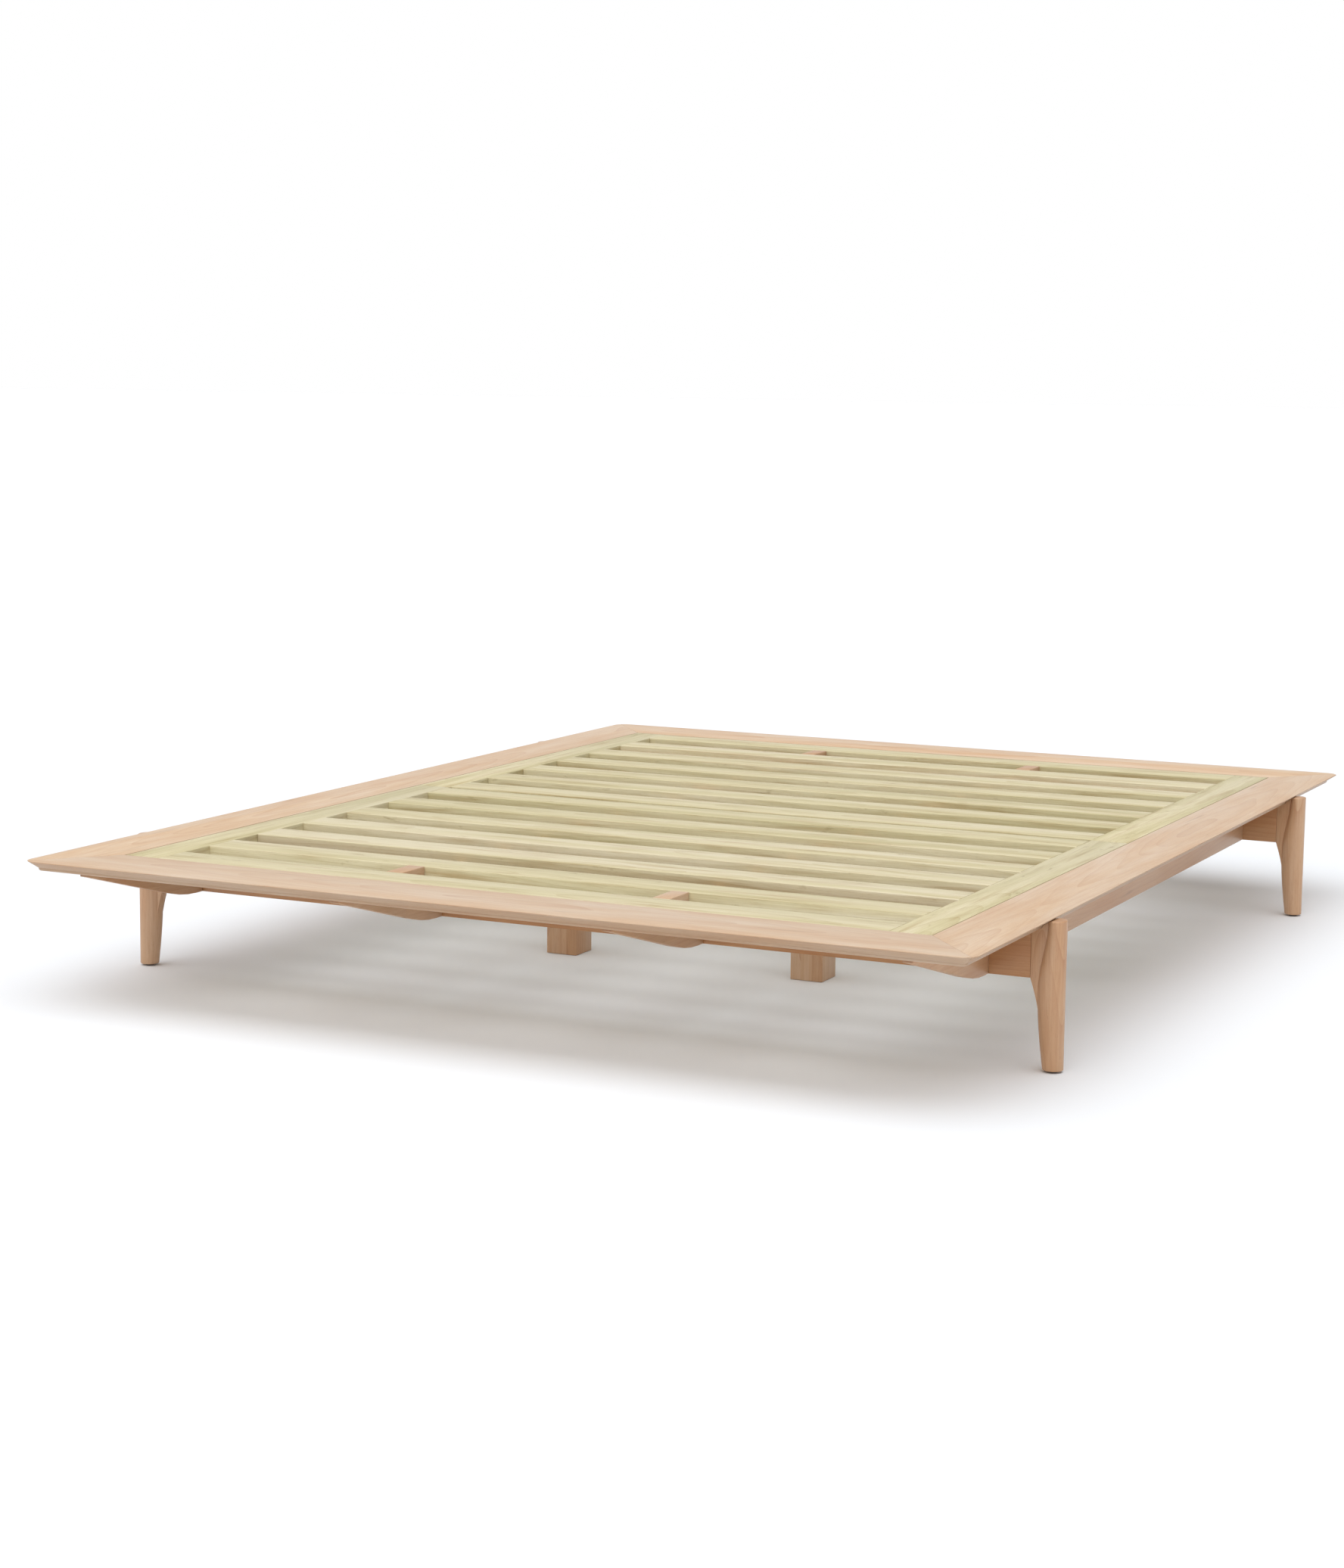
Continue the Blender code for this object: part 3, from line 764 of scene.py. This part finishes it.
def poplar_wood():
    """Poplar, planed and clear-finished: cream sapwood running into pale green heartwood, with tan and
    olive streaks along the board and a soft figure of little contrast."""
    material = bpy.data.materials.new("clear_finished_poplar")
    material.use_nodes = True
    tree = material.node_tree
    grain = add(tree, "ShaderNodeAttribute", out=1, attribute_name="grain")
    warmth = add(tree, "ShaderNodeAttribute", out=2, attribute_name="warmth")
    open_grain = add(tree, "ShaderNodeAttribute", out=2, attribute_name="open_grain")

    # heartwood lies in bands 30 mm wide, greener on some boards than on others
    bands = fibres(tree, grain, (700, 32, 32), 2.0, 0.5)["Fac"]
    heart = add(tree, "ShaderNodeMath", {0: warmth, 1: 0.35, 2: bands}, operation="MULTIPLY_ADD")
    colour = add(
        tree,
        "ShaderNodeValToRGB",
        {0: heart},
        stops=((0.48, "#e4dabd"), (0.90, "#cfc59c"), (0.70, "#dcd2ae")),
    )

    across, line = growth_rings(tree, grain, 8.0, 9.0, 0.06)
    colour = stained(tree, colour, across, 0.0, 1.0, 0.10, "#d6cb9c")
    colour = stained(tree, colour, line, 0.0, 1.0, 0.30, "#c9b886")
    streaks = fibres(tree, grain, (130, 3.0, 3.0), 3.0, 0.6)["Fac"]
    colour = stained(tree, colour, streaks, 0.7, 0.3, 0.4, "#cfc4a0")

    # tan streaks, then the odd olive-brown swirl beside a knot
    tan = fibres(tree, grain, (240, 16, 16), 3.0, 0.6)["Fac"]
    colour = stained(tree, colour, tan, 0.52, 0.74, 0.55, "#c8ac7c")
    swirl = fibres(tree, grain, (70, 22, 22), 4.0, 0.65)["Fac"]
    colour = stained(tree, colour, swirl, 0.64, 0.80, 0.7, "#a8925f")

    # pore lines, drawn 0.8 mm wide so that they show
    pores = fibres(tree, grain, (16, 0.8, 0.8), 1.0, 0.5)["Fac"]
    colour = stained(tree, colour, pores, 0.60, 0.85, 0.45, "#bfb083")
    colour = stained(tree, colour, open_grain, 0.0, 1.0, 0.35, "#c9bb88")
    clear_finish(tree, colour, streaks, 0.42, 0.56)
    return material


poplar = poplar_wood()


def slat_bar(name, low, high):
    """One slat between the stiles, its long arrises eased and its ends square."""
    half, thick, ease_radius = (high.y - low.y) / 2, (high.z - low.z) / 2, 0.0011
    shape = []
    for corner, (sy, sz) in enumerate(((1, 1), (-1, 1), (-1, -1), (1, -1))):
        for step in range(4):
            angle = math.radians(90) * (corner + step / 3)
            shape.append(
                (
                    sy * (half - ease_radius) + ease_radius * math.cos(angle),
                    sz * (thick - ease_radius) + ease_radius * math.sin(angle),
                )
            )
    return mesh_of(skin([[(x, y, z) for y, z in shape] for x in (low.x, high.x)]), name)


for end, way, seed in (("foot", -1, 51), ("head", 1, 61)):
    body = f"panel_{end}"
    stile_low, stile_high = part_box(f"panel_{end}_stile_right")
    slat_low, slat_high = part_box(f"panel_{end}_slat_1")
    next_low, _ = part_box(f"panel_{end}_slat_2")
    reach = stile_low.x - joint_gap
    slat_low.x, slat_high.x = -reach, reach
    slats = new_object(f"panel_{end}_slats", slat_bar(f"panel_{end}_slats", slat_low, slat_high))
    lay_grain(slats.data, (1, 0, 0), (0, 0, 1), seed, pith=(0.0, -0.06), warmth=0.0)
    lay_out(
        slats,
        start=(0, (slat_low.y + slat_high.y) / 2, (slat_low.z + slat_high.z) / 2),
        count=7,
        step=(0, next_low.y - slat_low.y, 0),
        warmth_low=0.1,
        warmth_high=0.9,
        seed=seed,
        finish=poplar,
    )
    finish_piece(slats, body, poplar, "poplar", *(f"panel_{end}_slat_{k}" for k in range(1, 8)))
    for side, turn in (("left", 1), ("right", 2)):
        name = f"panel_{end}_stile_{side}"
        stile = eased_copy(name + "_board", name, 0.0006)
        lay_grain(stile.data, (0, 1, 0), (0, 0, 1), seed + turn, pith=(0.01, -0.05), warmth=0.62)
        finish_piece(stile, body, poplar, "poplar", name)

# ---------------------------------------------------------------------------------------------- blocks
# Four small maple blocks glued on the inner lengthwise boards.  Each fills the outermost gap of a panel
# and keeps it from sliding.
block_low, block_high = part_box("locating_block_foot_left")
block_x, block_y = (block_low.x + block_high.x) / 2, (block_low.y + block_high.y) / 2
blocks = eased_copy("locating_blocks", "locating_block_foot_left", 0.0008)
lay_grain(blocks.data, (0, 1, 0), (0, 0, 1), 71, warmth=0.0)
lay_out(
    blocks,
    count=2,
    step=(-2 * block_x, 0, 0),
    rows=2,
    row_step=(0, -2 * block_y, 0),
    warmth_low=0.3,
    warmth_high=0.6,
    seed=9,
    finish=maple,
)
finish_piece(
    blocks,
    "base",
    maple,
    "maple",
    *(f"locating_block_{e}_{s}" for e in ("foot", "head") for s in ("left", "right")),
)

# ---------------------------------------------------------------------------------------------- studio
# A white painted floor under a wide soft light from above, with a pale wall all round and a dim ceiling.
floor_drop = 0.0005  # keeps the floor off the undersides of the feet
floor_paint = bpy.data.materials.new("white_painted_floor")
floor_paint.use_nodes = True
floor_shader = floor_paint.node_tree.nodes["Principled BSDF"].inputs
floor_shader["Base Color"].default_value = srgb("#edf0f4")
floor_shader["Roughness"].default_value = 0.9
bm = bmesh.new()
bmesh.ops.create_grid(bm, x_segments=1, y_segments=1, size=90.0)
bmesh.ops.translate(bm, verts=bm.verts[:], vec=(0, 0, -floor_drop))
floor = new_object("floor", mesh_of(bm, "floor"))
floor.data.materials.append(floor_paint)

studio = bpy.data.worlds.new("white_studio")
studio.use_nodes = True
room = studio.node_tree
height = add(room, "ShaderNodeSeparateXYZ", {0: add(room, "ShaderNodeTexCoord")}, out=2)
light = add(room, "ShaderNodeMapRange", {0: height, 1: 0.16, 2: 0.26, 3: 1.0, 4: 0.30})
room.links.new(light, room.nodes["Background"].inputs["Strength"])
room.nodes["Background"].inputs["Color"].default_value = (1, 1, 1, 1)
bpy.context.scene.world = studio

overhead = bpy.data.lights.new("overhead_soft_light", "SUN")
overhead.energy = 3.0
overhead.angle = math.radians(92)
lamp = bpy.data.objects.new("overhead_soft_light", overhead)
lamp.matrix_world = Matrix.Rotation(math.radians(19), 4, "X")
bpy.context.scene.collection.objects.link(lamp)
bpy.context.scene.view_settings.view_transform = "Standard"

# the camera stands off the foot's right corner, looking slightly down
camera_place = (2.3547, -5.2118, 1.1250)
camera_swing, camera_tilt, camera_roll = 0.452677, 1.429023, 0.010225
lens = bpy.data.cameras.new("camera")
lens.sensor_width = 36.0
lens.lens = 67.03
lens.clip_end = 200.0
camera = bpy.data.objects.new("camera", lens)
camera.matrix_world = (
    Matrix.Translation(camera_place)
    @ Matrix.Rotation(camera_swing, 4, "Z")
    @ Matrix.Rotation(camera_tilt, 4, "X")
    @ Matrix.Rotation(camera_roll, 4, "Z")
)
bpy.context.scene.collection.objects.link(camera)
bpy.context.scene.camera = camera
